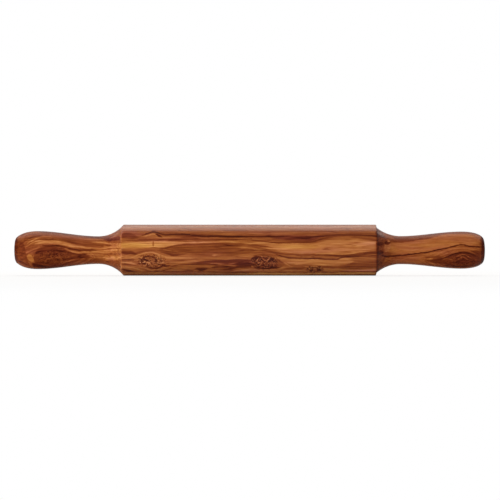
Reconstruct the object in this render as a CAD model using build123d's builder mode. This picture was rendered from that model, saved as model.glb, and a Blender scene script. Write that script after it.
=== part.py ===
from build123d import *
from math import radians, tan
import os

# Rolling pin turned from one piece of olive wood.
# The axis of the lathe is X and the middle of the pin is the origin. The barrel is a
# true cylinder. Each handle is cut from the same stick in one flowing line: a hollow
# cove off the barrel, a slim neck, a palm swell and a shallow dome at the tip.

barrel_length = 247.0
barrel_diameter = 50.0

# Reaches along a handle, from the barrel's edge outwards, and the widths met there
handle_length = 106.5
neck_reach = 24.6
swell_reach = 84.0
rim_reach = 105.3
rim_diameter = 23.8

# How long each end of the neck's line keeps level, as a share of the run to the swell
level_share = 1 / 3

# What the turner's hand left different on the two handles. A rim slope is the angle
# at which the palm swell arrives at the rim of the dome, in degrees from level.
left_neck_diameter = 27.1
left_swell_diameter = 37.3
left_rim_slope = 46.0
right_neck_diameter = 27.5
right_swell_diameter = 36.4
right_rim_slope = 53.0

# The right cove starts below the barrel's skin, at the foot of a small square step
right_step = 2.0

# Sharp corners are eased with fine paper
barrel_edge_radius = 0.5
rim_edge_radius = 1.2

# The section is drawn on a plane that leans back from upright, in degrees, so that the
# seam of the turned faces lies behind the top, off the front and off the ground
seam_lean = 36.0

half_barrel = barrel_length / 2
barrel_radius = barrel_diameter / 2
rim_radius = rim_diameter / 2
tip_x = half_barrel + handle_length


def draw_handle(side, neck_radius, swell_radius, rim_slope, step=0.0):
    """Draw one handle's line from the barrel's edge to the tip: side is 1 or -1 along X."""

    def place(reach, radius):
        return (side * (half_barrel + reach), radius)

    barrel_edge = place(0, barrel_radius)
    cove_start = place(0, barrel_radius - step)
    neck = place(neck_reach, neck_radius)
    swell = place(swell_reach, swell_radius)
    rim = place(rim_reach, rim_radius)
    tip = place(handle_length, 0)
    if step:
        Line(barrel_edge, cove_start)

    # Cove: one arc that runs level into the neck
    TangentArc(neck, cove_start, tangent=(-side, 0))

    # Neck and palm side of the swell: a long S, level at both ends
    level = level_share * (swell_reach - neck_reach)
    Bezier(neck, place(neck_reach + level, neck_radius), place(swell_reach - level, swell_radius), swell)

    # Shoulder of the swell: it rolls over from level to the rim's slope
    roll_over = (swell_radius - rim_radius) / tan(radians(rim_slope))
    Bezier(swell, place(rim_reach - roll_over, swell_radius), rim)

    # Dome: an arc that crosses the axis square
    TangentArc(tip, rim, tangent=(0, 1))


with BuildPart() as rolling_pin:
    with BuildSketch(Plane.XZ.rotated((-seam_lean, 0, 0))):
        with BuildLine():
            draw_handle(-1, left_neck_diameter / 2, left_swell_diameter / 2, left_rim_slope)
            Line((-half_barrel, barrel_radius), (half_barrel, barrel_radius))
            draw_handle(1, right_neck_diameter / 2, right_swell_diameter / 2, right_rim_slope, right_step)
            Line((tip_x, 0), (-tip_x, 0))
        section = make_face()
        fillet(section.vertices().group_by(Axis.Y)[-1], radius=barrel_edge_radius)
    revolve(axis=Axis.X)

    # The outermost rings along X are the rims of the two domes
    left_rim, *_, right_rim = rolling_pin.edges().filter_by(lambda edge: edge.is_closed).sort_by(Axis.X)
    fillet([left_rim, right_rim], radius=rim_edge_radius)

rolling_pin.part.label = "rolling_pin"

os.makedirs("parts", exist_ok=True)
export_step(rolling_pin.part, "parts/rolling_pin.step")
print("Length over all:", round(rolling_pin.part.bounding_box().size.X, 2), "mm")
print("Wood:", round(rolling_pin.part.volume), "cubic millimetres")
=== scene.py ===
from math import acos, hypot, pi, radians, sin, tan

import bpy
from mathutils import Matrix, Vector


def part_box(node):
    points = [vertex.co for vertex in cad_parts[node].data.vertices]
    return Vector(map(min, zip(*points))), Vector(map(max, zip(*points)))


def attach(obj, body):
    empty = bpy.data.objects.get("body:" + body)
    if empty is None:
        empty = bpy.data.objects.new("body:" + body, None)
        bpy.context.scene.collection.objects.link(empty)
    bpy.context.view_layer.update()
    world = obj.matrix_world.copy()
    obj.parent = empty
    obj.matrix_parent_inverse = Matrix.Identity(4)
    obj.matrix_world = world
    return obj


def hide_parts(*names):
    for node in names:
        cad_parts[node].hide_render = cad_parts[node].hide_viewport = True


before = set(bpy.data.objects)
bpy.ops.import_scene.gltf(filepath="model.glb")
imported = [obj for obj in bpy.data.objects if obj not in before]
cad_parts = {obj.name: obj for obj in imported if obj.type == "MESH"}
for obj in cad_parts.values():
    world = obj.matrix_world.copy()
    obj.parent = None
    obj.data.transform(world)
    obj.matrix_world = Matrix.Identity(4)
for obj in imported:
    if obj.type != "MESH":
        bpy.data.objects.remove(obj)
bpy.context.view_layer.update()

# The camera stands level with the pin's axis and square on to it, as the photographer's
# did, far enough away that the near side of the barrel looks hardly larger than its ends.
viewing_distance = 1.43
aim_across = 0.0004
aim_up = 0.0001
lens_length = 105.0
bpy.ops.object.camera_add(location=(aim_across, -viewing_distance, aim_up), rotation=(pi / 2, 0, 0))
camera = bpy.context.object
camera.name = "photo_camera"
camera.data.lens = lens_length
bpy.context.scene.camera = camera

# The rolling pin is one stick of olive wood, turned between centres. Its straight barrel
# runs into each handle by a hollow cove, then a slim neck and a swell that fills the palm,
# and a shallow dome closes the tip. The right cove starts at the foot of a small step.
mm = 0.001
low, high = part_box("rolling_pin")
tip_x = high.x
barrel_radius = high.z
half_barrel = 123.5 * mm
handle_length = tip_x - half_barrel
neck_reach = 24.6 * mm
swell_reach = 84.0 * mm
rim_reach = 105.3 * mm
rim_radius = 11.9 * mm
level_share = 1 / 3
left_neck_radius = 13.55 * mm
left_swell_radius = 18.65 * mm
left_rim_slope = radians(46)
right_neck_radius = 13.75 * mm
right_swell_radius = 18.2 * mm
right_rim_slope = radians(53)
right_step = 2.0 * mm
barrel_edge_radius = 0.5 * mm
rim_edge_radius = 1.0 * mm

# How finely the outline is drawn, turned and eased, and how near two points lie that are one
outline_steps = 20
turning_steps = 128
barrel_edge_steps = 4
rim_edge_steps = 5
merge_distance = 0.01 * mm
smooth_angle = radians(30)


def arc(start, end, way):
    """Give a round arc that leaves start along the unit vector way, as a Bezier segment."""
    chord = (end[0] - start[0], end[1] - start[1])
    length = hypot(*chord)
    lean = (chord[0] * way[0] + chord[1] * way[1]) / length
    half_turn = acos(lean)
    pull = length / (2 * sin(half_turn)) * 4 / 3 * tan(half_turn / 2)
    arrival = (2 * lean * chord[0] / length - way[0], 2 * lean * chord[1] / length - way[1])
    leave = (start[0] + pull * way[0], start[1] + pull * way[1])
    arrive = (end[0] - pull * arrival[0], end[1] - pull * arrival[1])
    return start, leave, arrive, end


def straight(start, end):
    """Give a straight run as a Bezier segment."""
    leave = tuple((2 * a + b) / 3 for a, b in zip(start, end))
    arrive = tuple((a + 2 * b) / 3 for a, b in zip(start, end))
    return start, leave, arrive, end


def handle_line(side, neck_radius, swell_radius, rim_slope, step):
    """Give one handle's line as Bezier segments, from the barrel outwards."""

    def place(reach, radius):
        return side * (half_barrel + reach), radius

    neck = place(neck_reach, neck_radius)
    swell = place(swell_reach, swell_radius)
    rim = place(rim_reach, rim_radius)
    level = level_share * (swell_reach - neck_reach)
    shoulder = place(rim_reach - (swell_radius - rim_radius) / tan(rim_slope), swell_radius)
    shoulder_leave = tuple(a + (b - a) * 2 / 3 for a, b in zip(swell, shoulder))
    shoulder_arrive = tuple(a + (b - a) * 2 / 3 for a, b in zip(rim, shoulder))
    cove = arc(neck, place(0, barrel_radius - step), (-side, 0))
    dome = arc(place(handle_length, 0), rim, (0, 1))
    line = [
        cove[::-1],
        (neck, place(neck_reach + level, neck_radius), place(swell_reach - level, swell_radius), swell),
        (swell, shoulder_leave, shoulder_arrive, rim),
        dome[::-1],
    ]
    if step:
        line.insert(0, straight(place(0, barrel_radius), place(0, barrel_radius - step)))
    return line


left = handle_line(-1, left_neck_radius, left_swell_radius, left_rim_slope, 0)
right = handle_line(1, right_neck_radius, right_swell_radius, right_rim_slope, right_step)
barrel = straight((-half_barrel, barrel_radius), (half_barrel, barrel_radius))
outline = [segment[::-1] for segment in reversed(left)] + [barrel] + right

bpy.ops.object.select_all(action="DESELECT")
bpy.ops.curve.primitive_bezier_curve_add(location=(0, 0, 0))
pin = bpy.context.object
pin.name = "turned_pin"
pin.data.resolution_u = outline_steps
spline = pin.data.splines[0]
spline.bezier_points.add(len(outline) - 1)
for point in spline.bezier_points:
    point.handle_left_type = point.handle_right_type = "FREE"
for before, after, segment in zip(spline.bezier_points, list(spline.bezier_points)[1:], outline):
    start, leave, arrive, end = [(x, 0, z) for x, z in segment]
    before.co = start
    before.handle_right = leave
    after.handle_left = arrive
    after.co = end
spline.bezier_points[0].handle_left = spline.bezier_points[0].co
spline.bezier_points[-1].handle_right = spline.bezier_points[-1].co
bpy.ops.object.convert(target="MESH")
pin = bpy.context.object
bpy.ops.object.mode_set(mode="EDIT")
bpy.ops.mesh.select_all(action="SELECT")
bpy.ops.mesh.spin(steps=turning_steps, angle=2 * pi, center=(0, 0, 0), axis=(1, 0, 0))
bpy.ops.mesh.select_all(action="SELECT")
bpy.ops.mesh.remove_doubles(threshold=merge_distance)
bpy.ops.mesh.normals_make_consistent(inside=False)
bpy.ops.mesh.select_all(action="DESELECT")


def select_ring(x, radius):
    """Select the ring of edges that runs round the pin at x, at that radius."""
    bpy.ops.object.mode_set(mode="OBJECT")
    near = []
    for vertex in pin.data.vertices:
        gap_along = abs(vertex.co.x - x)
        gap_outward = abs(hypot(vertex.co.y, vertex.co.z) - radius)
        near.append(gap_along < 2 * merge_distance and gap_outward < 5 * merge_distance)
    for edge in pin.data.edges:
        edge.select = near[edge.vertices[0]] and near[edge.vertices[1]]
    bpy.ops.object.mode_set(mode="EDIT")
    bpy.ops.mesh.select_mode(type="EDGE")


for side in (-1, 1):
    select_ring(side * half_barrel, barrel_radius)
    bpy.ops.mesh.bevel(offset=barrel_edge_radius, segments=barrel_edge_steps)
    bpy.ops.mesh.select_all(action="DESELECT")
    select_ring(side * (half_barrel + rim_reach), rim_radius)
    bpy.ops.mesh.bevel(offset=rim_edge_radius, segments=rim_edge_steps)
    bpy.ops.mesh.select_all(action="DESELECT")
bpy.ops.object.mode_set(mode="OBJECT")
bpy.ops.object.shade_smooth_by_angle(angle=smooth_angle)

# What the pin is made of: oiled olive wood, pale honey where the tree grew fast, with brown
# and near-black streaks, and knots that the streaks bend round. The pattern is one field of
# tone, from 0 for the palest wood to 1 for the darkest, which a ramp turns into colour.
wood = bpy.data.materials.new("oiled_olive_wood")
wood.use_nodes = True


class Value:
    """One value, vector, colour or shader of a material. Sums written on it add Math nodes."""

    tree = None

    def __init__(self, socket):
        self.socket = socket

    @classmethod
    def material(cls, owner):
        """Start an empty node tree for that material or world."""
        cls.tree = owner.node_tree
        cls.tree.nodes.clear()

    @classmethod
    def node(cls, kind, settings, sockets, output=0):
        """Add a node: its settings first, then the values or links of its sockets."""
        made = cls.tree.nodes.new("ShaderNode" + kind)
        for name, value in settings.items():
            if name == "stops":
                cls.set_stops(made.color_ramp, value)
            elif name == "points":
                cls.set_points(made.mapping, value)
            else:
                setattr(made, name, value)
        for name, value in sockets.items():
            if isinstance(value, cls):
                cls.tree.links.new(value.socket, made.inputs[name])
            else:
                made.inputs[name].default_value = value
        return cls(made.outputs[output]) if made.outputs else None

    @staticmethod
    def set_stops(ramp, stops):
        """Give a ramp its stops, each with its place and colour."""
        while len(ramp.elements) < len(stops):
            ramp.elements.new(0.5)
        for element, (place, colour) in zip(ramp.elements, stops):
            element.position = place
            element.color = colour

    @staticmethod
    def set_points(mapping, points):
        """Give a curve its points: it bends smoothly, and its two end runs are straight."""
        curve = mapping.curves[0]
        for place, height in points[1:-1]:
            curve.points.new(place, height)
        curve.points[0].location = points[0]
        curve.points[-1].location = points[-1]
        for point in curve.points:
            point.handle_type = "AUTO_CLAMPED"
        for end in (0, 1, -2, -1):
            curve.points[end].handle_type = "VECTOR"
        mapping.update()

    def output(self, name):
        """Give another output of the node that this one comes from."""
        return Value(self.socket.node.outputs[name])

    def maths(self, operation, *others, clamp=False):
        """Add a Math node with this value on its first input."""
        sockets = dict(enumerate((self, *others)))
        return Value.node("Math", {"operation": operation, "use_clamp": clamp}, sockets)

    def __add__(self, other):
        return self.maths("ADD", other)

    def __radd__(self, other):
        return self.maths("ADD", other)

    def __sub__(self, other):
        return self.maths("SUBTRACT", other)

    def __rsub__(self, other):
        return Value.node("Math", {"operation": "SUBTRACT"}, {0: other, 1: self})

    def __mul__(self, other):
        return self.maths("MULTIPLY", other)

    def __rmul__(self, other):
        return self.maths("MULTIPLY", other)

    def __truediv__(self, other):
        return self.maths("DIVIDE", other)

    def __rtruediv__(self, other):
        return Value.node("Math", {"operation": "DIVIDE"}, {0: other, 1: self})

    def __pow__(self, other):
        return self.maths("POWER", other)

    def __abs__(self):
        return self.maths("ABSOLUTE")

    def clamped(self):
        """Keep this value between 0 and 1."""
        return self.maths("ADD", 0.0, clamp=True)

    def step(self, start, end, low=0.0, high=1.0):
        """Go smoothly from low to high as this value goes from start to end."""
        sockets = {"Value": self, "From Min": start, "From Max": end, "To Min": low, "To Max": high}
        return Value.node("MapRange", {"interpolation_type": "SMOOTHSTEP"}, sockets)


def mix(cover, ground, over):
    """Lay one value over another, as far as cover says."""
    return Value.node("Mix", {}, {0: cover, 2: ground, 3: over})


def noise(place, stretch, detail=2.0, roughness=0.5, distortion=0.0, seed=0.0):
    """Give noise in lumps of stretch millimetres along X, Y and Z, between 0 and 1."""
    shift = (seed, seed * 1.7, -seed)
    lumps = Value.node(
        "VectorMath",
        {"operation": "MULTIPLY_ADD"},
        {0: place, 1: tuple(1 / (size * mm) for size in stretch), 2: shift},
    )
    sockets = {"Vector": lumps, "Scale": 1.0, "Detail": detail}
    sockets |= {"Roughness": roughness, "Distortion": distortion}
    return Value.node("TexNoise", {}, sockets)


Value.material(wood)
surface = Value.node("TexCoord", {}, {}, "Object")
axes = Value.node("SeparateXYZ", {}, {0: surface})
x, y, z = axes, axes.output("Y"), axes.output("Z")

# Tells the side in view, where it is 1, from the hidden side, where it is 0.
front = 1 - y.step(-2 * mm, 6 * mm)

# Where the figure of the side in view lies was read off the photograph, in its frame of 500 by
# 500 pixels: the pin's middle is at 249.6 across and 250.1 down, and a metre on the axis is
# 1021.7 pixels, and a little more where the wood is nearer to the viewer. Noise frays the edge
# of every streak.
middle_across, middle_down = 249.6, 250.1
pixels = 1021.7
nearness = viewing_distance / (y + viewing_distance)
fray = noise(surface, (16, 16, 2.6), detail=3.0, roughness=0.6, seed=3.0)
fine_fray = noise(surface, (6, 6, 0.8), detail=2.0, roughness=0.6, seed=13.0)
fray_width, fine_fray_width = 2.2, 1.2
across = middle_across + x * nearness * pixels
down = middle_down - z * nearness * pixels
down = down + (fray - 0.5) * fray_width + (fine_fray - 0.5) * fine_fray_width
frame_top, frame_height, margin = 215.0, 70.0, 12.0
depth = (down - frame_top) / frame_height

# Knots and the long eyes on the two palms: how far across and down the middle of each is, how
# far it reaches each way, and how strongly the grain is pushed aside.
eyes = {
    "left knot": (151.0, 260.6, 19.0, 10.0, 0.75),
    "middle knot": (264.6, 262.0, 19.0, 9.5, 0.75),
    "right knot": (315.5, 269.3, 10.0, 4.5, 0.6),
    "left palm": (57.0, 257.0, 32.0, 12.0, 0.7),
    "right palm": (462.0, 262.0, 24.0, 11.0, 0.7),
}
aside = 0.0
for middle, height, reach, tall, push in eyes.values():
    off = down - height
    near = ((across - middle) / reach) ** 2.0 + (off / tall) ** 2.0
    aside = aside + off * (near * -1.1).maths("EXPONENT") * (push / pixels)
aside = aside * front
flow = Value.node("CombineXYZ", {}, {"X": x, "Y": y, "Z": z + aside})

# Growth layers lie level in the stick and wander slowly, so they show as long lines on the
# front and back and as flame shapes on the top and underside.
layer_rise = 5.2 * mm
layer_run = 19 * mm
wander = noise(surface, (110, 34, 34), detail=1.0, seed=11.0)
ripple = noise(flow, (38, 10, 10), detail=2.0, seed=5.0)
layer = (z + aside) / layer_rise + y / layer_run + wander * 4.6 + ripple * 1.1
fibre = noise(flow, (24, 1.6, 1.6), detail=3.0, roughness=0.6, seed=1.0)
fine_fibre = noise(flow, (7, 0.35, 0.35), detail=2.0, seed=2.0)
stripe = noise(flow, (75, 3.6, 3.6), detail=2.0, seed=6.0)
vein_field = noise(flow, (90, 5.5, 5.5), detail=1.5, seed=9.0)
veins = 1 - abs(vein_field - 0.5).step(0.0, 0.022)
more_veins = 1 - abs(vein_field - 0.6).step(0.0, 0.014)
year = layer.maths("FRACT")
late_wood = year.step(0.45, 0.97) * (1 - year.step(0.97, 1.0))
year_strength = Value.node("TexWhiteNoise", {"noise_dimensions": "1D"}, {"W": layer.maths("FLOOR") * 7.31})
cloud = noise(flow, (70, 9, 9), detail=2.0, seed=8.0)
common_tone = 0.4
wild = common_tone + (cloud - 0.5) * 0.9 + late_wood * year_strength * 0.42

# On the side in view the layers are calmed, and what the photograph shows lies over them.
calm_tone, calm_cover = 0.56, 0.7
tone = mix(calm_cover, wild, calm_tone)
run_out = 0.8


def streak(ground, shade, cover, fade, points):
    """Lay a streak of that shade over the ground.

    Each point is how far across and down its middle lies, and how wide it is there. fade is
    how far its edges run out, and all of these are in pixels. The streak is closed a little
    way beyond its first and last point.
    """
    first_across, first_down = points[0][:2]
    last_across, last_down = points[-1][:2]
    start, end = first_across - run_out, last_across + run_out
    points = [(start, first_down, -3 * fade), *points, (end, last_down, -3 * fade)]
    along = Value.node("MapRange", {}, {"Value": across, "From Min": start, "From Max": end})
    middle, reach = [], []
    for point_across, point_down, wide in points:
        share = (point_across - start) / (end - start)
        middle.append((share, (point_down - frame_top) / frame_height))
        reach.append((share, (margin + wide / 2) / frame_height))
    middle = Value.node("FloatCurve", {"points": middle}, {"Value": along})
    reach = Value.node("FloatCurve", {"points": reach}, {"Value": along})
    beyond = abs(depth - middle) - reach
    inner, outer = -(margin + fade) / frame_height, -margin / frame_height
    sockets = {"Value": beyond, "From Min": inner, "From Max": outer, "To Min": cover, "To Max": 0.0}
    return mix(Value.node("MapRange", {}, sockets), ground, shade)


def ring(ground, shade, cover, fade, start, end):
    """Lay a band of that shade round the pin, from start to end across, in pixels."""
    inside = across.step(start - fade, start + fade) * (1 - across.step(end - fade, end + fade))
    return mix(inside * cover, ground, shade)


# Round the eye on each palm the layers close up into ovals, pointed towards the barrel. Each
# eye has how far across and down its middle is, how far it reaches each way, and how strongly
# the ovals show.
palms = {
    "left": (56.0, 257.2, 26.0, 9.6, 0.4),
    "right": (463.0, 260.4, 25.0, 9.4, 0.3),
}
ovals = 0.0
for middle, height, reach, tall, strength in palms.values():
    near = (abs((across - middle) / reach) ** 1.5 + abs((down - height) / tall) ** 1.5) ** 0.67
    sockets = {"W": near * 5.5 + middle, "Scale": 1.0, "Detail": 2.0}
    lines = Value.node("TexNoise", {"noise_dimensions": "1D"}, sockets)
    held = (1 - near.step(1.3, 1.9)) * near.step(0.2, 0.7)
    ovals = ovals + (lines - 0.5) * held * strength * 2

# Broad fields of paler and darker wood are laid first, and the lines and patches over them.
# Each has its shade, how strongly it covers, how far its edges fade, and its points.
broad, firm, fine = 3.0, 1.5, 0.7
fields = {
    "left handle, ground": (0.61, 0.75, broad, [
        (12, 248, 50), (60, 248, 44), (100, 249, 40), (121, 250, 64),
    ]),
    "left neck, paler": (0.42, 0.8, 2.4, [
        (86, 255, 0), (96, 253.6, 13), (108, 252.6, 18), (121, 252, 20),
    ]),
    "left palm, over the eye": (0.58, 0.8, firm, [
        (36, 238.6, 0), (48, 238, 4), (62, 237.8, 5), (80, 240.4, 5), (98, 242.8, 0),
    ]),
    "barrel, under the sheen": (0.56, 0.9, broad, [
        (120, 232, 18), (160, 230, 13), (250, 230, 13), (378, 230, 13),
    ]),
    "barrel, lower left": (0.45, 0.8, broad, [
        (120, 264, 24), (140, 264, 24), (170, 264, 20), (200, 262, 16), (262, 266, 16),
    ]),
    "barrel, lower right": (0.34, 0.88, firm, [(270, 269, 8), (300, 269.5, 8), (378, 269.5, 8)]),
    "barrel, red middle": (0.64, 0.95, 2.4, [
        (164, 250, 0), (180, 249.6, 10), (200, 249.5, 14), (225, 249, 15), (246, 248, 13), (264, 247, 2),
    ]),
    "barrel, honey": (0.32, 0.95, 1.4, [
        (244, 243.8, 1), (256, 244.4, 5), (272, 246.2, 8), (291, 248.2, 11), (315, 248.4, 12.4),
        (332, 247, 16), (350, 247.2, 16.6), (366, 246.6, 14.4), (378, 246.5, 12),
    ]),
    "barrel, lower honey": (0.33, 0.92, 1.2, [
        (272, 258, 0), (282, 259.4, 5), (290, 261.2, 7), (300, 262, 8), (318, 262.2, 8),
        (340, 261.8, 8.6), (350, 260.8, 7), (358, 260, 0),
    ]),
    "right handle, ground": (0.64, 0.85, 2.4, [
        (378, 245, 44), (386, 246, 38), (398, 238, 10), (425, 234, 6), (440, 232, 0),
    ]),
    "right handle, honey": (0.42, 0.93, 1.4, [
        (385, 248, 8), (400, 248, 13), (430, 245, 16), (455, 240, 16), (468, 239.6, 13), (476, 240.6, 9),
        (482, 241, 4), (486, 241, 0),
    ]),
    "right handle, below": (0.5, 0.9, 1.6, [
        (385, 260, 6), (400, 260, 9), (425, 258.6, 10), (445, 255.6, 9), (462, 250.4, 6), (476, 250.8, 4),
        (484, 251, 0),
    ]),
}
for field in fields.values():
    tone = streak(tone, *field)
tone = tone + ovals

# The lines and patches of the left handle, the barrel and the right handle have the same four
# values.
left_handle = {
    "top edge": (0.78, 0.85, 1.2, [
        (34, 231, 0), (45, 232.2, 4), (60, 233.4, 4), (80, 235.2, 4), (95, 237.2, 4), (105, 237.6, 4),
        (113, 235.5, 2), (118, 232, 0),
    ]),
    "palm eye": (0.77, 0.95, 1.6, [
        (33, 258, 2), (35.5, 257.5, 14), (41, 256.5, 20), (48, 256.5, 22), (58, 257.5, 20.5),
        (68, 257.5, 15), (78, 256.5, 9), (88, 255, 3), (93, 254.6, 0),
    ]),
    "eye, dark above": (0.9, 0.8, 1.2, [
        (36, 251.4, 0), (41, 250.6, 3), (50, 249.6, 3), (60, 250.6, 3), (70, 252.6, 2.5), (80, 253.6, 0),
    ]),
    "eye, dark heart": (0.92, 0.7, 1.4, [
        (43, 254.5, 0), (50, 254.8, 3.4), (57, 255.2, 2.4), (64, 255.5, 0),
    ]),
    "eye, brown heart": (0.5, 0.75, 1.1, [
        (42, 260.5, 0), (47, 261.2, 3.4), (54, 261.4, 2.4), (60, 260.6, 0),
    ]),
    "eye, brown tail": (0.52, 0.75, 1.0, [
        (58, 263.4, 0), (65, 261.6, 2.6), (73, 259.6, 2.6), (82, 257.4, 0),
    ]),
    "eye, brown thread": (0.56, 0.7, 0.8, [
        (48, 257.8, 0), (57, 257.8, 1.8), (66, 256.8, 1.8), (76, 255.6, 0),
    ]),
    "eye, upper thread": (0.6, 0.7, fine, [
        (40, 252.6, 0), (47, 251.8, 1.6), (56, 252.4, 1.6), (66, 254, 0),
    ]),
    "eye, lower thread": (0.58, 0.75, fine, [(40, 264.4, 0), (50, 264.2, 1.8), (60, 263.6, 0)]),
    "eye, black foot": (1.0, 0.85, 1.1, [
        (30.5, 264.4, 0), (34, 265, 4.4), (40, 266.2, 4), (50, 267.2, 2), (60, 266.8, 0),
    ]),
    "eye, black corner": (0.96, 0.85, 0.9, [
        (34.4, 253, 0), (36.6, 252.6, 3.6), (40, 251, 2.4), (44, 250, 0),
    ]),
    "orange patch": (0.42, 0.92, 1.1, [
        (26.2, 256, 0), (28, 256.8, 7), (30.6, 258.6, 8.4), (32.6, 259.6, 5), (34, 260, 0),
    ]),
    "pale band": (0.3, 0.96, 0.9, [
        (32, 244.8, 0), (37, 243.2, 2), (46, 242.1, 3.4), (55, 242.3, 4), (64, 243.8, 4), (74, 246, 3.6),
        (83, 247.4, 3), (92, 248, 2.6), (103, 248.4, 2.4), (112, 247.4, 3), (121, 246, 4.6),
    ]),
    "inner arc": (0.36, 0.92, fine, [
        (23.4, 250.4, 0), (25, 247.4, 1.7), (28.6, 244.6, 1.9), (33, 242.2, 1.8), (38, 241, 1.8),
        (44, 240.6, 0),
    ]),
    "outer arc": (0.36, 0.92, fine, [
        (25.4, 245.4, 0), (28, 242.8, 1.7), (31.5, 240.6, 1.8), (37, 238.2, 1.8), (42, 237, 1.7),
        (50, 236.6, 1.5), (58, 236.9, 0),
    ]),
    "line between the arcs": (0.7, 0.85, fine, [
        (24.4, 248, 0), (27.4, 245, 1.5), (32, 241.8, 1.6), (37, 239.8, 1.7), (45, 239.2, 1.8),
        (54, 239.6, 1.8), (64, 240.6, 1.7), (76, 243.2, 1.6), (88, 244.8, 0),
    ]),
    "line under the band": (0.88, 0.92, fine, [
        (37, 247.4, 0), (44, 245.8, 2), (52, 245.8, 2.3), (61, 246.4, 2.3), (68, 248.4, 2.1),
        (76, 249.9, 2), (84, 250.4, 2), (92, 250.5, 1.8), (101, 251.2, 0),
    ]),
    "pale sliver": (0.38, 0.92, fine, [
        (61, 248.2, 0), (67, 249.8, 1.9), (74, 252, 2.2), (82, 252.4, 2.1), (92, 252.5, 1.7),
        (100, 252.8, 0),
    ]),
    "end of the eye": (0.66, 0.8, 0.8, [(80, 257.6, 0), (88, 257.2, 2), (96, 258, 1.8), (105, 258.6, 0)]),
    "orange specks": (0.36, 0.8, fine, [
        (83, 254.6, 0), (89, 254.2, 1.6), (96, 255.4, 1.6), (102, 256, 0),
    ]),
    "under the eye": (0.64, 0.75, 1.0, [(60, 266, 0), (75, 263, 2), (92, 261.4, 2.2), (105, 261.8, 0)]),
    "neck, maroon patch": (0.84, 0.82, 1.3, [
        (101, 238.8, 0), (105, 239.4, 3.2), (110, 239.6, 4.6), (115, 239, 5), (119, 238.2, 4.6),
        (120.6, 237.8, 0),
    ]),
    "neck, top pale line": (0.32, 0.9, 0.8, [
        (86, 242.8, 0), (96, 242.4, 2.4), (103, 242.8, 2.6), (112, 243.8, 1.8), (121, 243.8, 1.7),
    ]),
    "neck, top line": (0.64, 0.85, fine, [
        (86, 245.4, 0), (98, 245.4, 1.9), (108, 245.4, 1.5), (116, 245, 0),
    ]),
    "neck, line": (0.62, 0.8, fine, [
        (98, 249.8, 0), (106, 248.9, 1.6), (116, 248.4, 1.6), (121, 248, 0),
    ]),
    "neck, pale line": (0.28, 0.93, fine, [
        (99, 251, 0), (106, 250.6, 2.3), (114, 250.2, 2.7), (121, 249.8, 2.4),
    ]),
    "neck, brown line": (0.62, 0.85, 0.8, [
        (98, 254.2, 0), (108, 254, 2), (116, 254, 2.2), (121, 253.8, 2),
    ]),
    "neck, low pale line": (0.28, 0.92, 0.9, [
        (100, 257.4, 0), (106, 257.8, 3), (114, 258, 3.6), (121, 257.6, 3),
    ]),
    "neck, low brown line": (0.62, 0.8, 0.8, [
        (98, 261.8, 0), (110, 261.4, 2), (119, 262, 2), (121, 262.6, 0),
    ]),
    "end, pink thread": (0.5, 0.8, 0.6, [(18, 253, 0), (20, 250.6, 2.2), (22, 248.2, 2), (24, 246, 0)]),
    "end, low pink thread": (0.54, 0.75, 0.6, [
        (19, 261, 0), (22.4, 258.6, 2.6), (24.6, 256, 2), (26, 254, 0),
    ]),
    "end, brown": (0.76, 0.85, 2.0, [
        (13, 250, 18), (18, 251, 22), (23, 252, 20), (27, 262, 6), (30, 265, 0),
    ]),
    "end, dark thread": (0.8, 0.85, 0.8, [
        (17, 247.4, 0), (19.4, 245.2, 2.6), (22.6, 242.6, 2.4), (27, 239.6, 2), (33, 236.8, 1.6),
        (42, 235.2, 0),
    ]),
    "end, dark foot": (0.84, 0.85, 1.0, [
        (17.6, 261, 0), (21, 262.4, 3.6), (26, 264.6, 2.6), (31, 266, 0),
    ]),
}
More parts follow.
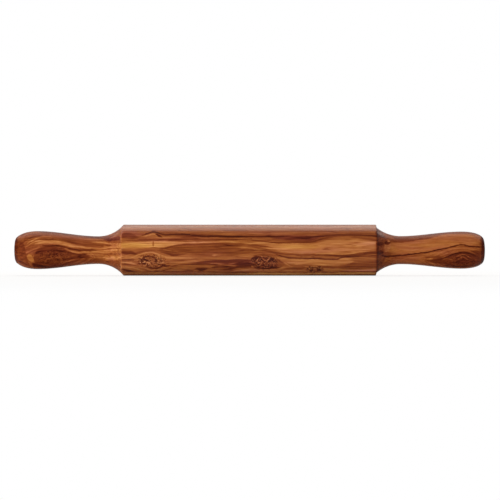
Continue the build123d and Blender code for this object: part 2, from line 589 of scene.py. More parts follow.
barrel_left = {
    "band under the sheen": (0.7, 0.85, firm, [
        (162, 234.6, 1.5), (190, 235.4, 3.4), (230, 236.2, 4.4), (270, 236.6, 5), (310, 237, 5.4),
        (335, 235, 4), (378, 234.6, 4),
    ]),
    "corner": (0.72, 0.85, 1.6, [(121, 236.2, 6), (127, 236, 8.4), (134, 236.8, 5.5), (140, 237.6, 0)]),
    "corner, pale thread": (0.5, 0.8, fine, [(122, 238.4, 1), (128, 238, 1.6), (135, 237.6, 0)]),
    "arrow": (0.42, 0.92, 0.8, [
        (138, 237.4, 0), (146, 236.4, 2.6), (153, 235.4, 4.2), (160, 236.8, 2.8), (175, 237.2, 2.2),
        (196, 237.8, 0),
    ]),
    "arrow, dark line": (0.92, 0.95, fine, [
        (139, 236.6, 0), (145, 234.4, 1.8), (150, 232.7, 1.9), (153.4, 231.7, 2.2), (157, 232.4, 2.3),
        (160.5, 234, 2.1), (166, 234.8, 1.8), (173, 234.5, 1.8), (181, 234, 2), (190, 234.5, 2),
    ]),
    "arrow, dark eye": (0.88, 0.9, 0.8, [
        (154.4, 234.4, 0), (157, 235, 3), (160, 236.2, 2.2), (163, 237, 0),
    ]),
    "arrow, pale line": (0.26, 0.92, 0.6, [
        (139, 238, 0), (147, 235.6, 1.5), (153.4, 234, 1.8), (156.4, 235.6, 1.4), (158, 236.8, 0),
    ]),
    "line over the band": (0.76, 0.9, fine, [
        (122, 241, 0), (132, 240.3, 1.8), (140, 239.9, 1.7), (147, 239.4, 1.7), (156, 239.6, 1.9),
        (164, 239.6, 2.1), (176, 239.8, 2.1), (192, 239.7, 1.9), (206, 239.7, 1.7), (222, 239.7, 1.7),
        (252, 239.1, 1.5),
    ]),
    "long dark line": (0.93, 0.95, 0.9, [
        (186, 234.4, 0), (194, 235.3, 1.8), (201, 236, 2.2), (213, 236.3, 2.4), (226, 236.6, 2.5),
        (248, 236.4, 2.4), (266, 236.8, 2.4), (284, 236.6, 2.2), (298, 236, 0),
    ]),
    "yellow band": (0.26, 0.97, 1.1, [
        (121, 245.6, 7.2), (126, 245.4, 7.8), (134, 245.2, 7.8), (146, 244.6, 7.8), (155, 244.4, 8.2),
        (164, 244.2, 7.4), (170, 243.8, 5.6), (177, 243, 3.6), (185, 242.6, 2.6), (200, 242.2, 2.2),
        (217, 241.8, 2), (235, 241.8, 1.8), (256, 241, 0),
    ]),
    "band, lower thread": (0.44, 0.7, fine, [(121, 247, 1), (134, 247, 1.6), (146, 246.8, 0)]),
    "crack": (0.56, 0.75, 0.35, [(152, 244, 0), (152.7, 244, 6), (153.4, 244, 6), (154.1, 244, 0)]),
    "under the band": (0.74, 0.9, 0.8, [
        (155, 249, 0), (163, 248.6, 1.9), (170, 247.1, 2.3), (177, 245.6, 2.2), (185, 244.9, 1.9),
        (199, 244.2, 0),
    ]),
    "brown patch": (0.68, 0.9, 1.0, [
        (155, 250.6, 0), (164, 250.8, 5), (171, 251.8, 6), (177, 252.8, 3.6), (186, 252.6, 0),
    ]),
    "patch, pale thread": (0.46, 0.85, fine, [
        (157, 249.6, 0), (166, 250.2, 1.6), (175, 251.4, 1.6), (184, 252.8, 1.6), (196, 253.8, 0),
    ]),
    "patch, dark tail": (0.86, 0.92, 0.8, [
        (158, 252, 0), (166, 253.4, 2.1), (173, 254.9, 2.6), (180, 254.5, 1.9), (190, 253.2, 0),
    ]),
    "wedge": (0.8, 0.9, 1.0, [
        (121, 252.4, 3), (124, 252.6, 4.6), (130, 252.8, 4.8), (135, 253.4, 2.8), (139, 254, 0),
    ]),
    "wedge, red spot": (0.5, 0.9, 0.6, [(126, 254.6, 0), (130, 254.8, 2), (134.4, 254.6, 0)]),
    "wedge, thread": (0.6, 0.8, 0.5, [(121, 252, 0), (127, 251.8, 1.3), (134, 252.2, 0)]),
    "over the arch": (0.66, 0.85, 0.6, [
        (132, 254, 0), (138, 252, 1.6), (146, 250.6, 1.6), (153, 250.4, 1.6), (161, 252.6, 0),
    ]),
    "arch": (0.26, 0.96, 0.8, [
        (132, 257.4, 0), (137, 255.4, 1.8), (141, 253.8, 2), (146, 252.7, 2.1), (151.4, 252.4, 2.1),
        (156, 253.6, 2.2), (161, 255.8, 2.4), (167, 257.6, 2.7), (174, 258, 2.9), (182, 258, 2.5),
        (192, 258.2, 1.5), (202, 258.4, 0),
    ]),
    "under the arch": (0.76, 0.9, 0.6, [
        (137, 258.4, 0), (142, 255.7, 1.7), (147, 254.6, 1.7), (152, 254.4, 1.7), (157, 255.8, 1.7),
        (162, 258.6, 0),
    ]),
    "second arch": (0.42, 0.85, 0.6, [
        (136, 260.6, 0), (141, 257.6, 1.5), (147, 256.2, 1.5), (153, 256.2, 1.5), (159, 258.6, 0),
    ]),
    "third arch": (0.8, 0.8, 0.6, [
        (137, 262, 0), (142, 259.2, 1.5), (148, 257.8, 1.5), (154, 258, 1.5), (160, 260.4, 0),
    ]),
    "bowl": (0.92, 0.92, fine, [
        (140, 264.4, 0), (146, 266.8, 1.8), (151, 268.2, 2), (156, 268.2, 2), (161, 266.4, 1.9),
        (166, 264, 1.7), (171, 262.6, 0),
    ]),
    "under the bowl": (0.28, 0.9, 0.6, [
        (141, 266.8, 0), (148, 269.5, 1.6), (156, 270, 1.7), (163, 268, 1.6), (172, 265.2, 0),
    ]),
    "bowl, second line": (0.82, 0.88, 0.6, [
        (142, 269.4, 0), (150, 271.4, 1.5), (158, 271.6, 1.5), (168, 269.2, 1.5), (180, 267, 0),
    ]),
    "knot, pale fleck": (0.28, 0.9, 0.6, [
        (157.6, 259.4, 0), (161.5, 261, 1.8), (165, 263.4, 1.8), (167.4, 264.8, 0),
    ]),
    "knot, dark spot": (0.9, 0.88, fine, [
        (158.6, 263.2, 0), (163, 265.2, 2.4), (168, 266, 1.6), (173, 266, 0),
    ]),
    "left, line a": (0.3, 0.9, 0.8, [(121, 257, 2), (127, 257.2, 2.6), (133, 257, 2), (139, 255.9, 0)]),
    "left, line b": (0.82, 0.85, 0.6, [
        (121, 259.6, 1.7), (127, 259.7, 1.9), (134, 259.8, 1.5), (139, 259.4, 0),
    ]),
    "left, line c": (0.24, 0.88, 0.6, [
        (121, 262, 1.5), (127, 262.4, 1.8), (133, 263, 1.6), (140, 264.8, 0),
    ]),
    "left, line d": (0.84, 0.85, 0.6, [
        (121, 264.3, 1.5), (127, 264.6, 1.8), (134, 265.6, 1.6), (142, 268, 0),
    ]),
    "left, line e": (0.28, 0.85, 0.6, [
        (121, 266.6, 1.4), (128, 267, 1.7), (136, 268.7, 1.6), (146, 271.6, 0),
    ]),
    "left, line f": (0.9, 0.9, 0.9, [
        (121, 269.2, 2.6), (126, 270.2, 3.4), (132, 271.4, 2.6), (139, 273, 0),
    ]),
    "right of the bowl": (0.7, 0.85, fine, [(168, 260.6, 0), (178, 260.6, 1.9), (190, 260.8, 0)]),
    "right, pale thread": (0.44, 0.8, fine, [(170, 263.2, 0), (180, 262.6, 1.7), (192, 261.8, 0)]),
    "right, dark thread": (0.78, 0.85, fine, [
        (166, 268.4, 0), (176, 265.6, 1.9), (186, 264.6, 1.9), (196, 264.6, 0),
    ]),
}
barrel_middle = {
    "maroon line": (0.82, 0.9, 1.2, [
        (186, 262.6, 0), (196, 262.6, 2.4), (206, 262, 3.4), (222, 261.6, 4.4), (240, 261, 5),
        (250, 261.6, 5), (258, 262, 0),
    ]),
    "maroon line, thread": (0.56, 0.85, fine, [
        (196, 260.4, 0), (208, 259.8, 1.7), (224, 259.4, 1.7), (238, 258.8, 0),
    ]),
    "dark swirl": (0.96, 0.92, 1.6, [
        (193, 269.6, 0), (197, 268.8, 3), (200, 269.4, 4.6), (204, 269, 4), (209, 268, 1.4),
        (216, 267.4, 0),
    ]),
    "over the swirl": (0.48, 0.85, fine, [
        (185, 267, 0), (194, 266.5, 1.7), (202, 266.3, 1.7), (210, 266.8, 1.7), (217, 268.4, 0),
    ]),
    "second over the swirl": (0.86, 0.85, fine, [
        (184, 265, 0), (193, 264.4, 2), (203, 264, 2), (213, 264.8, 2), (223, 265.6, 0),
    ]),
    "swirl, right": (0.52, 0.85, fine, [
        (206, 272, 0), (212, 269.8, 1.6), (221, 268.7, 1.7), (232, 268.8, 0),
    ]),
    "swirl, right line": (0.88, 0.85, 0.8, [
        (207, 268.4, 0), (216, 266.8, 2.1), (226, 266.6, 2.1), (238, 267, 0),
    ]),
    "swirl, left": (0.84, 0.8, fine, [(180, 269.4, 0), (188, 270.4, 1.9), (196, 271.2, 0)]),
    "lower dark": (0.84, 0.9, 1.2, [
        (216, 271, 0), (228, 269, 3), (240, 266.6, 4), (250, 265.6, 4.6), (256, 266, 0),
    ]),
    "lower dark, thread": (0.54, 0.8, fine, [(226, 265.4, 0), (238, 264.2, 1.6), (250, 263.8, 0)]),
    "pale foot": (0.34, 0.92, 0.8, [
        (222, 272, 0), (238, 270.9, 2.2), (250, 270, 2.8), (262, 270.4, 2.4), (280, 271.6, 1.7),
        (296, 272, 0),
    ]),
    "orange haze": (0.52, 0.6, firm, [
        (204, 256.4, 0), (214, 256.4, 4), (226, 256.8, 4), (241, 257.6, 0),
    ]),
    "pale spot": (0.3, 0.85, 0.8, [(211, 255, 0), (214, 255.4, 2.2), (217, 255.2, 1.4), (222, 256.4, 0)]),
    "pale spot, dash": (0.7, 0.8, 0.5, [(208, 252.6, 0), (214, 252.6, 1.4), (222, 252.8, 0)]),
    "pale line to the knot": (0.4, 0.9, 0.8, [
        (222, 258.2, 0), (232, 257.8, 2.2), (242, 257, 2.7), (250, 256.4, 2.2), (258, 255.6, 0),
    ]),
    "pale slope": (0.3, 0.88, 0.8, [
        (234, 242.2, 0), (246, 242.8, 2), (258, 244.6, 2.2), (268, 247.4, 1.8), (280, 250.6, 0),
    ]),
    "dark slope": (0.7, 0.85, fine, [
        (236, 245, 0), (246, 245.4, 1.8), (256, 247.2, 1.8), (266, 249.4, 1.4), (274, 251, 0),
    ]),
    "second pale slope": (0.34, 0.85, fine, [
        (232, 248, 0), (244, 247.4, 2), (256, 248.8, 1.8), (268, 251, 1.2), (276, 252.6, 0),
    ]),
    "brown wedge": (0.5, 0.6, 1.0, [
        (238, 244.8, 1), (250, 245.8, 3.4), (262, 247, 2.6), (276, 248.8, 0),
    ]),
    "wedge line": (0.68, 0.88, 0.8, [(244, 244.6, 0), (254, 245.2, 1.9), (264, 246.2, 2), (277, 248, 0)]),
    "field, upper thread": (0.52, 0.75, fine, [
        (182, 247.6, 0), (200, 247.4, 1.7), (220, 247, 1.6), (240, 246.6, 0),
    ]),
    "field, lower thread": (0.74, 0.75, fine, [(192, 250.4, 0), (208, 250.4, 1.7), (228, 250.2, 0)]),
}
barrel_right = {
    "maroon swell": (0.73, 0.9, 1.2, [
        (268, 239.4, 0), (282, 238.6, 4), (296, 238.8, 6), (308, 238.9, 6), (316, 238, 4),
        (326, 236.4, 2), (337, 235.6, 0),
    ]),
    "swell, lower line": (0.76, 0.92, fine, [
        (244, 239.6, 0), (256, 240.5, 1.8), (265, 241.5, 1.9), (278, 242.8, 2), (293, 242.5, 1.9),
        (308, 242.2, 1.9), (316, 240.8, 1.9), (323, 238.9, 1.9), (332, 237, 1.8), (345, 235.8, 0),
    ]),
    "swell, pale thread": (0.52, 0.8, fine, [
        (250, 238.4, 0), (264, 239.3, 1.7), (280, 240, 1.6), (298, 240.4, 0),
    ]),
    "swell, dark heart": (0.97, 0.94, 0.9, [
        (282, 237.4, 0), (296, 237.2, 2.4), (306, 237.8, 3.2), (314, 237.2, 2.6), (326, 236, 2),
        (341, 235, 0),
    ]),
    "right top line": (0.88, 0.92, 0.8, [
        (324, 235.2, 0), (340, 235, 2.1), (356, 235.3, 2.1), (378, 236.3, 2.3),
    ]),
    "right second line": (0.66, 0.88, 0.9, [
        (350, 237.6, 0), (360, 238.2, 2.2), (370, 239, 2.6), (378, 239.6, 2.8),
    ]),
    "orange-red patch": (0.52, 0.88, 1.2, [
        (335, 237.8, 0), (340, 237.8, 3), (346, 238.6, 4), (353, 239.6, 0),
    ]),
    "honey, dash": (0.6, 0.92, 0.5, [(320.5, 249.2, 0), (326, 249.3, 1.6), (332.5, 249.5, 0)]),
    "upper line": (0.76, 0.93, 0.8, [
        (231, 251.6, 0), (240, 250.4, 1.7), (248, 249.7, 2), (256, 249.9, 2.1), (264, 250.5, 2.1),
        (272, 251.9, 2.1), (284, 254, 2.3), (300, 254.8, 2.3), (317, 254.9, 2.3), (332, 255.4, 2.3),
        (344, 255.8, 2.5), (356, 254.6, 3.1), (366, 253.4, 3.5), (378, 252.6, 4),
    ]),
    "lower line": (0.86, 0.95, 0.8, [
        (271, 252.4, 0), (278, 254.8, 1.7), (284, 256.8, 2), (291, 258.1, 2.1), (304, 258.5, 2),
        (317, 258.8, 2.1), (330, 259.4, 2.2), (337, 259.2, 2.1), (342, 257.7, 2.2), (350, 256.7, 2.3),
        (360, 256.2, 2.1), (378, 256, 2.5),
    ]),
    "between the lines": (0.52, 0.88, 0.8, [
        (284, 255.6, 0), (300, 256.6, 1.8), (318, 256.9, 2), (332, 257.4, 2.2), (341, 256.8, 0),
    ]),
    "right brown": (0.56, 0.9, 1.4, [(347, 259, 0), (358, 259.8, 6), (368, 260.2, 9), (378, 260.4, 9)]),
    "right brown, pale thread": (0.46, 0.8, fine, [
        (354, 258.6, 0), (364, 258.4, 1.6), (378, 258.4, 1.6),
    ]),
    "thread to the small knot": (0.6, 0.88, 0.6, [
        (275, 259.6, 0), (283, 262.4, 1.5), (291, 264.5, 1.6), (305, 265.1, 1.6), (319, 265.3, 0),
    ]),
    "right of the knot": (0.36, 0.85, 0.8, [
        (275, 256, 0), (279, 258.6, 2.2), (284, 262.4, 2.4), (291, 266.2, 1.7), (298, 268, 0),
    ]),
    "foot of the knot": (0.9, 0.9, 0.9, [
        (256, 266.8, 0), (266, 268.2, 2.6), (276, 267.8, 2.6), (284, 266.2, 0),
    ]),
    "brown below": (0.58, 0.9, 1.0, [(280, 268.8, 0), (290, 268.2, 3.4), (300, 268, 4), (308, 267.6, 0)]),
    "brown below, thread": (0.34, 0.88, fine, [
        (278, 270.6, 0), (290, 270.4, 1.9), (300, 270.8, 1.7), (308, 270.8, 0),
    ]),
    "lower dark": (0.68, 0.88, 1.1, [
        (316, 266.4, 0), (326, 267.2, 3), (338, 267.2, 3.6), (352, 267.6, 4), (366, 267.4, 4),
        (378, 267, 4),
    ]),
    "lower dark, thread": (0.56, 0.8, 0.6, [
        (330, 268.4, 0), (344, 268.8, 1.4), (360, 268.6, 1.4), (378, 268, 1.2),
    ]),
    "pink line": (0.26, 0.92, fine, [
        (332, 271.2, 0), (350, 270.7, 2.1), (366, 270.6, 2.3), (378, 270.2, 2.1),
    ]),
    "last dark line": (0.78, 0.8, fine, [
        (120, 271.8, 1), (160, 271.4, 1.2), (240, 272, 1.2), (330, 272, 1.4), (378, 271.8, 1.6),
    ]),
    # The pale brown and tan rim along the underside is painted reflection of the white floor below.
    "brown edge": (0.3, 0.9, 1.0, [(121, 273.8, 2.6), (200, 274, 2.8), (236, 274, 2.4), (256, 274, 0)]),
    "tan edge": (0.08, 0.95, 1.0, [(228, 274, 0), (246, 274, 2.4), (300, 273.9, 2.8), (378, 273.5, 2.8)]),
}
right_handle = {
    "top edge": (0.78, 0.85, 1.1, [
        (390, 236.6, 0), (400, 238.6, 4), (410, 237.8, 3.6), (425, 235.6, 3.4), (440, 233.8, 3.6),
        (455, 232.8, 3.6), (470, 232.8, 3.6), (480, 234.8, 2.4), (485, 236.6, 0),
    ]),
    "cove, dark spot": (1.0, 0.95, firm, [
        (376.4, 253, 2), (379, 252.8, 5.6), (382.4, 252.8, 4.6), (385.6, 253.2, 0),
    ]),
    "cove, upper spots": (0.97, 0.9, 1.1, [
        (376.4, 243.6, 2), (379, 244, 4.4), (382.6, 243.8, 4), (384.8, 243.6, 0),
    ]),
    "cove, top": (0.9, 0.75, 1.6, [(376, 233, 6), (380, 234.4, 7), (383, 236, 5), (386, 237, 0)]),
    "cove, pale patch": (0.52, 0.8, 1.2, [
        (378, 249, 0), (380.6, 248.6, 3), (384, 248.4, 4), (388, 248, 0),
    ]),
    "cove, foot": (0.66, 0.7, 1.6, [(377, 262, 6), (380, 261.6, 6), (384, 260.6, 3), (388, 260, 0)]),
    "upper dark band": (0.76, 0.92, 1.1, [
        (384, 241.6, 0), (391, 241.2, 3.6), (400, 240.8, 4), (410, 240.2, 3.6), (420, 239, 3),
        (430, 237.4, 2.5), (441, 236.4, 0),
    ]),
    "dark bud": (0.95, 0.9, 0.8, [
        (383.8, 243, 0), (386.6, 243.2, 3.8), (389.6, 243.2, 2.6), (391.6, 243, 0),
    ]),
    "pale bud": (0.34, 0.95, 0.6, [(387, 241.4, 0), (388.8, 241.4, 2.4), (390.6, 241.6, 0)]),
    "hairline": (0.96, 0.98, 0.6, [
        (380, 255.6, 0), (384, 256.1, 1.9), (390, 256.2, 2.2), (398, 256, 2.2), (406, 255, 2.1),
        (415, 253.7, 1.9), (427, 252.2, 1.9), (436, 250.5, 1.9), (444, 248.7, 1.8), (454, 246.3, 1.8),
        (462.5, 244.9, 1.8), (471.5, 246.4, 1.7), (479, 246.8, 1.7), (488, 247.2, 1.7),
    ]),
    "under the hairline": (0.6, 0.8, 0.8, [
        (386, 258.2, 0), (396, 258, 2.2), (412, 256.4, 2), (428, 254.4, 0),
    ]),
    "palm eye": (0.82, 0.94, firm, [
        (424, 260, 0), (432, 260.6, 4), (440, 260.6, 8), (448, 260, 12.5), (456, 259.2, 15.4),
        (463, 258.9, 16.8), (472, 259.4, 16), (483, 259.8, 13),
    ]),
    "palm end": (0.84, 0.85, 1.4, [
        (464, 257.6, 4), (471, 256.4, 11), (477, 256.6, 14), (483, 257.4, 13),
    ]),
    "eye, dark tail": (0.74, 0.85, 0.9, [
        (418, 257.6, 0), (428, 257.4, 2), (438, 257, 2.6), (446, 256.4, 0),
    ]),
    "olive band": (0.46, 0.88, 1.0, [
        (432, 254, 0), (444, 251.2, 2.2), (454, 248.8, 2.4), (464, 248.2, 2.4), (474, 249.6, 2.2),
        (483, 250.4, 0),
    ]),
    "eye, outer pale line": (0.52, 0.85, 0.6, [
        (438, 259, 0), (446, 256, 1.5), (455, 252.6, 1.6), (463, 250.8, 1.7), (471, 252.4, 1.6),
        (481, 255.4, 0),
    ]),
    "eye, pale line": (0.5, 0.82, 0.6, [
        (450, 260.8, 0), (457, 256.8, 1.5), (463.4, 254.2, 1.6), (469, 256.6, 1.5), (478, 260, 0),
    ]),
    "eye, pale hook": (0.48, 0.85, 0.6, [
        (441, 261.6, 0), (446, 258.8, 1.5), (451, 259.2, 1.5), (455, 261.4, 0),
    ]),
    "eye, heart": (1.0, 0.85, 0.9, [
        (457, 261, 0), (461, 260.2, 2.4), (464, 259.4, 3.4), (467.4, 260.4, 2.4), (471, 261.4, 0),
    ]),
    "eye, outer dark line": (1.0, 0.85, 0.5, [
        (434, 260.6, 0), (445, 257.6, 1.3), (455, 254, 1.4), (463, 252.3, 1.5), (471, 254, 1.4),
        (481, 257.6, 0),
    ]),
    "eye, inner dark line": (1.0, 0.85, 0.5, [
        (451, 262, 0), (457.6, 258.4, 1.3), (463.4, 255.8, 1.4), (468.8, 258.4, 1.3), (476, 262, 0),
    ]),
    "eye, inner ring": (0.5, 0.85, 0.5, [
        (455, 261.6, 0), (459.6, 258.6, 1.3), (463.4, 257.2, 1.3), (467.2, 258.8, 1.3), (472, 261.6, 0),
    ]),
    "eye, lower dark line": (1.0, 0.85, 0.5, [
        (446, 262.6, 0), (456, 266.2, 1.3), (466, 266.3, 1.3), (478, 263.4, 0),
    ]),
    "eye, low pale line": (0.54, 0.8, 0.5, [
        (436, 262.4, 0), (447, 265, 1.3), (458, 267.6, 1.2), (470, 267.4, 0),
    ]),
    "eye, lower line": (0.54, 0.82, 0.6, [
        (450, 262.4, 0), (458, 265, 1.5), (466, 264.8, 1.5), (476, 262.2, 0),
    ]),
    "eye, foot": (0.9, 0.8, 0.8, [(440, 264.4, 0), (450, 266, 2.2), (462, 266.6, 2.4), (476, 265.4, 0)]),
}
for part in (left_handle, barrel_left, barrel_middle, barrel_right, right_handle):
    for line in part.values():
        tone = streak(tone, *line)

# The knots are dark and mottled, with curly pale flecks, and their edge is ragged. Each has
# how far across and down its middle is, how far it reaches each way, its shade, and how
# strongly it covers. The hearts of the palms are mottled more faintly.
mottle = noise(surface, (7.0, 7.0, 3.4), detail=2.5, roughness=0.6, distortion=1.6, seed=4.0)
curls = noise(surface, (8.0, 8.0, 4.6), detail=1.0, distortion=2.6, seed=14.0)
pale_curls = (1 - abs(curls - 0.5).step(0.01, 0.06)) * mottle.step(0.4, 0.52)
dark_curls = 1 - abs(curls - 0.6).step(0.01, 0.05)
knots = {
    "left": (151.0, 261.0, 15.5, 7.4, 0.7, 0.92),
    "middle": (264.2, 262.4, 16.5, 7.6, 0.86, 0.92),
    "right": (315.4, 269.2, 9.5, 3.8, 0.76, 0.92),
    "left palm": (54.0, 257.4, 20.0, 8.6, 0.96, 0.34),
    "right palm": (462.0, 260.6, 17.0, 7.0, 0.9, 0.26),
}

# Single dark and pale lines that lie over the knots or run out from under them.
over_knots = {
    "left knot, brow": (0.9, 0.85, 0.8, [
        (139, 261.6, 0), (143, 258, 2.4), (148, 256.4, 2), (154, 257.2, 1.6), (159, 260.4, 0),
    ]),
    "left knot, eye": (0.98, 0.85, 0.9, [
        (141.6, 260, 0), (144, 259.4, 3), (147, 260.6, 2.6), (149.6, 262, 0),
    ]),
    "left knot, pale tear": (0.22, 0.9, 0.8, [
        (144.6, 264, 0), (147.6, 262.4, 2.6), (150.6, 264.4, 2.4), (153.4, 266, 0),
    ]),
    "middle knot, tail": (0.93, 0.9, 1.4, [
        (230, 265, 0), (238, 264, 4.4), (246, 263.4, 6.4), (252, 264.4, 4), (258, 266, 0),
    ]),
    "middle knot, tail line": (0.56, 0.8, 0.6, [
        (238, 262.4, 0), (246, 261.6, 1.4), (252, 263, 1.2), (257, 264, 0),
    ]),
    "middle knot, brow": (0.96, 0.85, 1.0, [
        (249.6, 260.6, 0), (252.6, 258.4, 3.4), (257, 256.8, 3), (262, 257.4, 1.6), (267, 258.6, 0),
    ]),
    "middle knot, foot": (0.97, 0.9, 0.9, [
        (250, 268, 0), (258, 267.6, 2.2), (266, 268.4, 2.6), (273, 267.6, 3), (279, 266.6, 0),
    ]),
    "right knot, pale cap": (0.32, 0.88, 0.7, [
        (309.6, 268, 0), (313, 266.2, 1.8), (317, 266.6, 1.8), (319.6, 268, 0),
    ]),
    "right knot, dark eye": (0.94, 0.85, 0.8, [(316.6, 270.4, 0), (319.4, 270, 2.6), (322.4, 270.4, 0)]),
}
for middle, height, reach, tall, shade, strength in knots.values():
    near = (((across - middle) / reach) ** 2.0 + ((down - height) / tall) ** 2.0).maths("SQRT")
    cover = (1 - (near + (mottle - 0.5) * 0.9).step(0.75, 1.05)) * strength
    tone = mix(cover, tone, (mottle - 0.5) * 2.4 + shade - pale_curls * 0.6 + dark_curls * 0.35)
for line in over_knots.values():
    tone = streak(tone, *line)

tone = mix(front, wild, tone)

# Bands that run all the way round: end grain that drank more oil at the tips, a painted highlight
# along the left arris, and painted shade in the right cove, at its step and on the right tip, over
# wood that is darker there as end grain. Each has its shade, how strongly it covers, how far its
# edges fade, and where it starts and ends across.
bands = {
    "left tip": (0.95, 0.7, 1.2, 8.0, 17.0),
    # The pale band at the left arris is a painted highlight.
    "left arris": (0.34, 0.5, 0.5, 120.4, 121.6),
    # The right cove and its step are darker partly as end grain and partly as painted shade.
    "right cove": (0.8, 0.28, 3.0, 376.0, 384.0),
    "right step": (0.95, 0.5, 0.6, 376.4, 378.6),
    "right dome, line": (0.72, 0.5, 0.4, 480.2, 481.4),
    # The right tip is darker partly as end grain and partly as painted shade.
    "right dome": (1.0, 0.9, 1.0, 481.8, 492.0),
}
for band in bands.values():
    tone = ring(tone, *band)

# The right handle is of plainer wood, so its fibres and veins show less.
plainer = mix(front, 1.0, across.step(384, 396, 1.0, 0.6))
tone = tone + (stripe - 0.5) * 0.22 + plainer * (fibre - 0.5) * 0.6 + (fine_fibre - 0.5) * 0.12
tone = tone + plainer * (veins * 0.14 + more_veins * 0.1)

# The colour leans towards yellow or towards maroon from place to place: 0 is the most yellow,
# 0.5 is plain and 1 is the most maroon.
wild_lean = 0.5 + (noise(flow, (45, 7, 7), detail=1.0, seed=17.0) - 0.5) * 0.7
lean = wild_lean
leans = {
    "yellow band": (0.0, 0.8, 2.0, [(121, 245.4, 7), (134, 245.4, 7), (150, 246, 4), (160, 246, 0)]),
    "honey": (0.1, 0.7, 2.0, [(270, 246, 0), (285, 246.4, 4), (310, 246.6, 6), (322, 247, 0)]),
    # The olive and red leans along the underside tint the painted reflection of the floor.
    "olive edge": (0.0, 0.8, 1.4, [(228, 273.6, 0), (250, 273.6, 3), (378, 273.4, 3)]),
    "olive edge, left": (0.2, 0.7, 1.4, [
        (128, 273.4, 0), (136, 273.4, 3), (156, 273.4, 3), (164, 273.4, 0),
    ]),
    "red edge": (0.8, 0.8, 1.2, [(160, 272.8, 0), (170, 272.8, 2.6), (198, 272.8, 2.6), (210, 273, 0)]),
    "left corner": (0.85, 0.8, 2.0, [(121, 234, 10), (130, 234, 10), (142, 234, 4), (150, 234, 0)]),
    "neck patch": (0.95, 0.8, 1.4, [(102, 238.6, 0), (108, 239, 6), (119, 238, 6), (121, 238, 0)]),
    "left end": (0.56, 0.7, 2.4, [(16, 256, 6), (22, 256, 16), (27, 260, 10), (34, 264, 0)]),
    "left rim": (0.2, 0.7, 1.6, [(11, 250, 30), (16, 250, 30), (18.4, 250, 20), (20, 250, 0)]),
    "orange patch": (0.25, 0.8, 1.2, [(26, 257, 0), (29, 257, 8), (32, 259, 8), (34, 260, 0)]),
    "maroon swell": (0.9, 0.8, 2.0, [(268, 238, 0), (284, 237.6, 6), (310, 238, 7), (330, 235, 0)]),
    "middle knot": (0.68, 0.75, 2.0, [
        (234, 264, 4), (248, 263, 7), (256, 261, 10), (268, 262, 12), (276, 264, 6), (280, 265, 0),
    ]),
    "maroon line": (0.85, 0.7, 2.0, [(196, 263, 0), (214, 262, 6), (246, 262, 8), (256, 262, 0)]),
    "right cove": (0.7, 0.6, 2.0, [(378, 246, 30), (386, 246, 24), (392, 246, 0)]),
    "pink line": (0.9, 0.8, 1.2, [(338, 271, 0), (350, 270.7, 3), (366, 270.6, 3), (378, 270.2, 3)]),
}
for patch in leans.values():
    lean = streak(lean, *patch)
lean = mix(front, wild_lean, lean)


def rgb(red, green, blue):
    """Turn a colour as it looks on a screen, out of 255, into the light it stands for."""
    light = []
    for part in (red / 255, green / 255, blue / 255):
        light.append(((part + 0.055) / 1.055) ** 2.4 if part > 0.04045 else part / 12.92)
    return (*light, 1)


def tinted(amount, ground, tint):
    """Multiply a colour by a tint, as far as amount says."""
    settings = {"data_type": "RGBA", "blend_type": "MULTIPLY"}
    return Value.node("Mix", settings, {0: amount, 6: ground, 7: tint}, 2)


stops = [
    (0.0, rgb(228, 164, 108)),
    (0.15, rgb(206, 140, 82)),
    (0.3, rgb(181, 114, 60)),
    (0.45, rgb(156, 88, 41)),
    (0.6, rgb(131, 65, 26)),
    (0.75, rgb(108, 46, 15)),
    (0.9, rgb(84, 28, 7)),
    (1.0, rgb(64, 17, 3)),
]
yellow_tint = (1.0, 1.12, 0.75, 1)
maroon_tint = (1.0, 0.86, 2.2, 1)
colour = Value.node("ValToRGB", {"stops": stops}, {"Fac": tone})
colour = tinted(((0.5 - lean) * 2.0).clamped(), colour, yellow_tint)
colour = tinted(((lean - 0.5) * 2.0).clamped(), colour, maroon_tint)

# The finish is rubbed oil. The barrel is burnished by use and has a soft sheen, and the
# handles are duller.
sheen_end = 12 * mm
relief_height = 0.05 * mm
roughness = 0.36 + (tone - 0.5) * 0.08 + (fine_fibre - 0.5) * 0.12
polish = 0.5 * (1 - abs(x).step(half_barrel - barrel_edge_radius, half_barrel + sheen_end))
sockets = {"Strength": 0.15, "Distance": relief_height, "Height": fine_fibre + fibre}
relief = Value.node("Bump", {}, sockets)
shader = Value.node(
    "BsdfPrincipled",
    {},
    {
        "Base Color": colour,
        "Roughness": roughness,
        "Specular IOR Level": 0.1,
        "Coat Weight": polish,
        "Coat Roughness": 0.18,
        "Normal": relief,
    },
)
Value.node("OutputMaterial", {}, {"Surface": shader})
pin.data.materials.append(wood)
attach(pin, "root")
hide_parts("rolling_pin")

# The table is a plain white sheet that the pin lies on. To the camera it is white as far as
# it reaches, and close to the pin it shows the soft shadow. Polished wood mirrors only the
# strip of it next to the pin.
bpy.ops.object.select_all(action="DESELECT")
sheet_width = 8.0
bpy.ops.mesh.primitive_plane_add(size=sheet_width, location=(0, 0, low.z))
floor = bpy.context.object
floor.name = "studio_floor"
paper = bpy.data.materials.new("white_paper")
paper.use_nodes = True
Value.material(paper)
rays = Value.node("LightPath", {}, {}, "Is Camera Ray")
place = Value.node("TexCoord", {}, {}, "Object")
from_middle = Value.node("VectorMath", {"operation": "LENGTH"}, {0: place}, "Value")
from_axis = abs(Value.node("SeparateXYZ", {}, {0: place}, "Y"))
mirror_start, mirror_end = 20 * mm, 70 * mm
mirrored = from_axis.step(mirror_start, mirror_end, 0.6, 0.05)
seen_in_wood = Value.node("CombineColor", {}, {0: mirrored, 1: mirrored, 2: mirrored})
white = (0.85, 0.85, 0.85, 1)
sockets = {0: rays.output("Is Glossy Ray"), 6: white, 7: seen_in_wood}
cover = Value.node("Mix", {"data_type": "RGBA"}, sockets, 2)
sheet = Value.node("BsdfPrincipled", {}, {"Base Color": cover, "Roughness": 0.9})
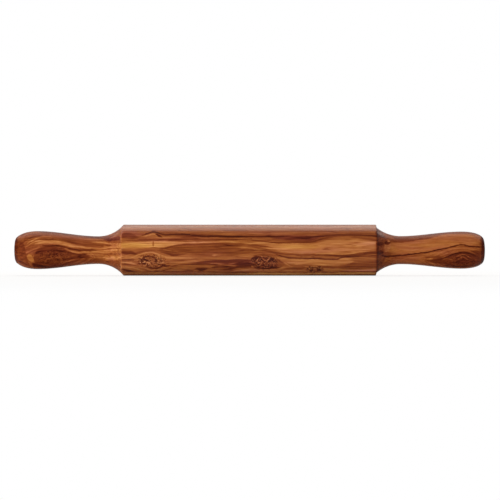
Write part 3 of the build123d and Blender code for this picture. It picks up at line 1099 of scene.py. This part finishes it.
glow = Value.node("Emission", {}, {"Color": (1, 1, 1, 1), "Strength": 1.0})
shadow_start, shadow_end = 0.1, 0.7
beyond_shadow = from_middle.step(shadow_start, shadow_end, 0.75, 1.0)
lit = Value.node("MixShader", {}, {0: rays * beyond_shadow, 1: sheet, 2: glow})
Value.node("OutputMaterial", {}, {"Surface": lit})
floor.data.materials.append(paper)

# The studio: a white surround that lights the pin softly, brightest behind where the wood
# mirrors it, a long warm softbox over the back edge of the table and a low plain key from the
# front left.
world = bpy.data.worlds.new("studio_world")
bpy.context.scene.world = world
world.use_nodes = True
Value.material(world)
rays = Value.node("LightPath", {}, {}, "Is Camera Ray")
way = Value.node("SeparateXYZ", {}, {0: Value.node("TexCoord", {}, {}, "Generated")}, "Y")
mirrored = way.step(-0.2, 0.6, 0.05, 0.35) + way.step(0.75, 0.95, 0.0, 0.55)
soft_light = 0.55
level = mix(rays, mix(rays.output("Is Glossy Ray"), soft_light, mirrored), 1.0)
surround = Value.node("Background", {}, {"Color": (1, 1, 1, 1), "Strength": level})
Value.node("OutputWorld", {}, {"Surface": surround})


def softbox(name, place, size, power, colour, mirrored):
    """Add an area lamp at place, turned towards the pin, which the wood may mirror or not."""
    turn = (-Vector(place)).to_track_quat("-Z", "Y").to_euler()
    bpy.ops.object.light_add(type="AREA", location=place, rotation=turn)
    lamp = bpy.context.object
    lamp.name = name
    lamp.data.shape = "RECTANGLE"
    lamp.data.size, lamp.data.size_y = size
    lamp.data.energy = power
    lamp.data.color = colour
    lamp.visible_glossy = mirrored


overhead_place = (0.0, 0.5, 0.95)
overhead_size = (2.2, 0.8)
overhead_power = 13.0
warm_white = (1.0, 0.92, 0.82)
softbox("overhead_softbox", overhead_place, overhead_size, overhead_power, warm_white, True)
key_place = (-1.4, -1.5, 0.12)
key_size = (1.4, 0.25)
key_power = 27.0
plain_white = (1.0, 1.0, 1.0)
softbox("key_softbox", key_place, key_size, key_power, plain_white, False)

bpy.context.scene.view_settings.view_transform = "Standard"
